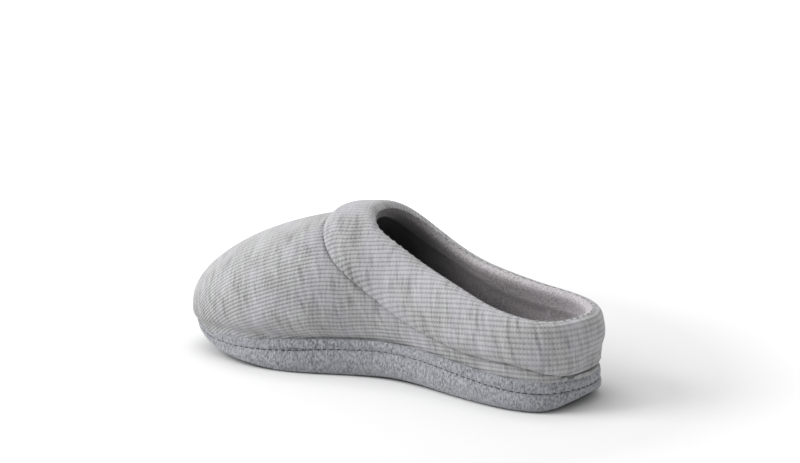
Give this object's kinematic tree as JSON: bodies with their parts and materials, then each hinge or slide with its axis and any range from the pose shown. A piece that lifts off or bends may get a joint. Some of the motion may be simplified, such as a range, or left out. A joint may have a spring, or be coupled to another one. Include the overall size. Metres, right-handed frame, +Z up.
{
  "type": "knitted slipper",
  "caption": "Right knitted house slipper: hollow rib-knit upper with a low back, padded collar band, plush-wrapped platform and a thin outsole.",
  "frame": {"origin": "on the floor under the middle of the slipper's box", "axes": "+Y towards the toe, +X towards the outer side of the foot, +Z up"},
  "size_m": [0.1082, 0.2682, 0.0981],
  "materials": {
    "knit": "heather grey rib knit",
    "plush": "blue-grey plush terry",
    "lining": "brushed grey lining",
    "rubber": "matt dark grey"
  },
  "bodies": {
    "root": {"outsole": "rubber", "platform": "plush", "strip": "plush", "insole": "lining", "upper": "knit", "collar_band": "knit"}
  },
  "joints": []
}
